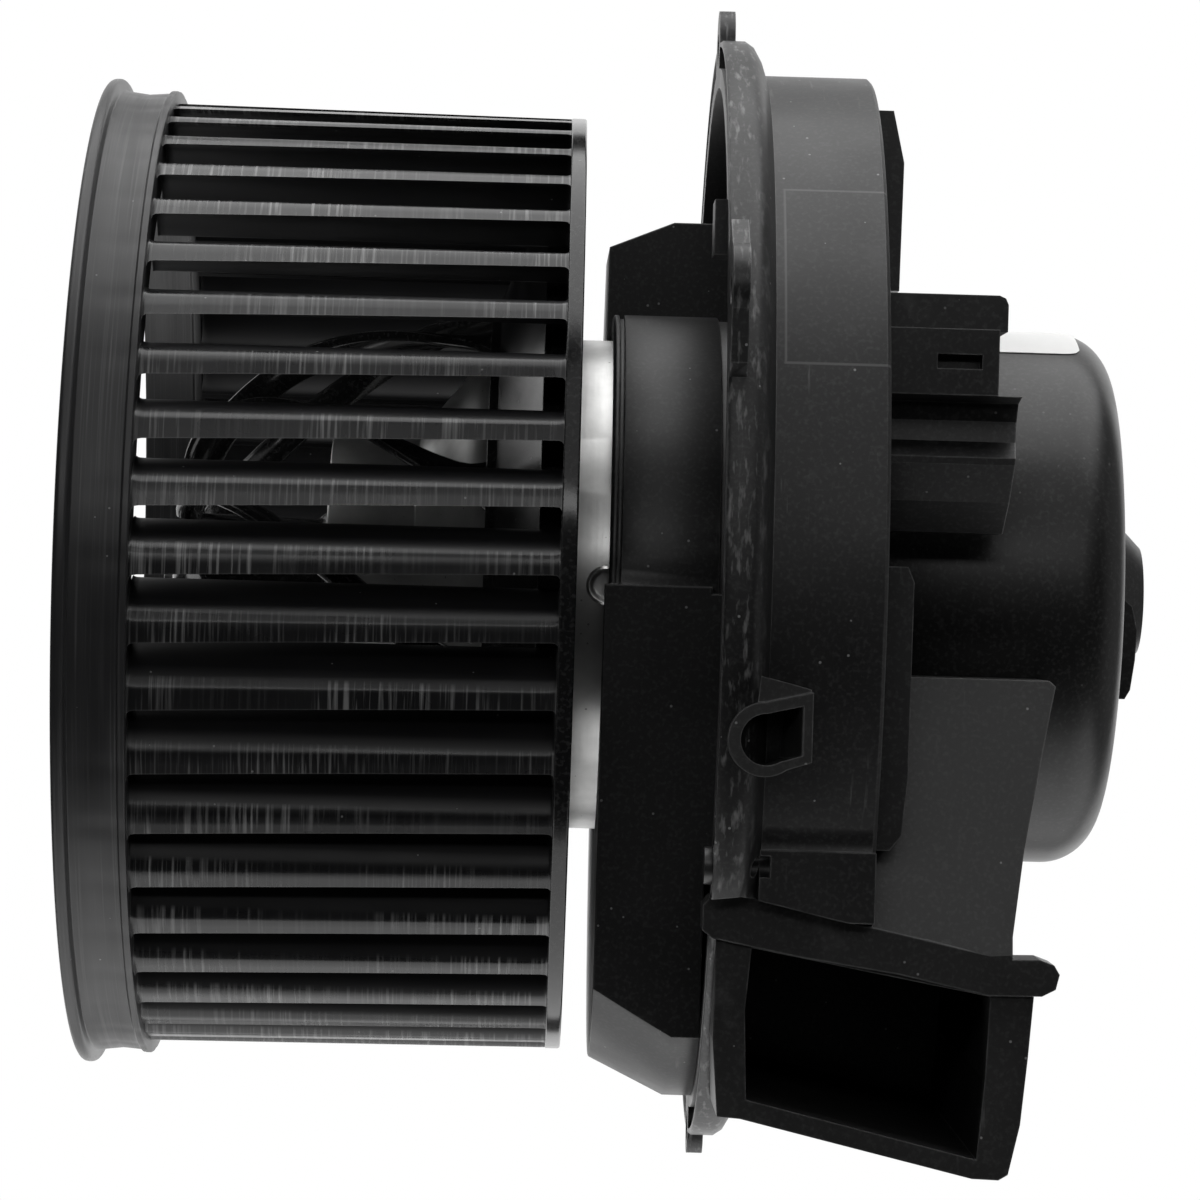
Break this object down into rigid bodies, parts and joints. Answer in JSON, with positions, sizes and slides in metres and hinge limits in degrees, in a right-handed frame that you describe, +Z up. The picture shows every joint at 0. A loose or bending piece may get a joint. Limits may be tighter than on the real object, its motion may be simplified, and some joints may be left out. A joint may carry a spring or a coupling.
{
  "type": "blower motor wheel",
  "caption": "Squirrel-cage blower wheel on an electric motor in a round flange housing with a side cooling duct, connector and domed cap.",
  "frame": {"origin": "on the shaft axis, in the plane of the flange's mating face", "axes": "+X along the shaft from the wheel's inlet to the motor cap, +Z up through the top ear, -Y towards the connector and duct mouth"},
  "size_m": [0.1587, 0.1674, 0.1752],
  "materials": {
    "wheel_plastic": "satin moulded plastic with fine striations on the blade tips",
    "housing_plastic": "moulded plastic with scuffs and dust",
    "connector_plastic": "moulded plastic, slightly glossier",
    "cap_plastic": "smooth satin",
    "can_steel": "matt zinc-plated",
    "shaft_steel": "ground",
    "spring_steel": "bright",
    "screw_steel": "blackened",
    "washer_plastic": "smooth",
    "lamination_steel": "stacked laminations",
    "copper": "enamelled copper",
    "insulator_plastic": "phenolic",
    "bronze": "sintered bronze",
    "ferrite": "sintered ferrite",
    "brass": "stamped",
    "carbon": "dull carbon",
    "black_rubber": "matt",
    "label_white": "blank printed film"
  },
  "bodies": {
    "housing": {"flange_housing": "housing_plastic", "front_carrier": "housing_plastic", "cooling_duct": "housing_plastic", "cable_clip": "housing_plastic", "carrier_screws": "screw_steel", "connector_housing": "connector_plastic", "connector_terminals": "brass", "power_leads": "brass", "lead_grommet": "black_rubber", "motor_cap": "cap_plastic", "rating_label": "label_white", "motor_can": "can_steel", "can_end_plate": "can_steel", "isolator_rings": "black_rubber", "field_magnets": "ferrite", "front_bearing": "bronze", "rear_bearing": "bronze", "bearing_retainers": "spring_steel", "brush_card": "insulator_plastic", "brush_holders": "brass", "carbon_brushes": "carbon", "brush_springs": "spring_steel", "suppression_chokes": "copper"},
    "rotor": {"impeller_rim": "wheel_plastic", "impeller_blades": "wheel_plastic", "impeller_hub": "wheel_plastic", "hub_clip": "spring_steel", "motor_shaft": "shaft_steel", "thrust_washers": "washer_plastic", "armature_core": "lamination_steel", "armature_windings": "copper", "commutator": "copper", "commutator_core": "insulator_plastic"}
  },
  "joints": [
    {"name": "rotor_spin", "type": "hinge", "parent": "housing", "child": "rotor", "pos_m": [0, 0, 0], "axis": [1, 0, 0], "continuous": true}
  ]
}
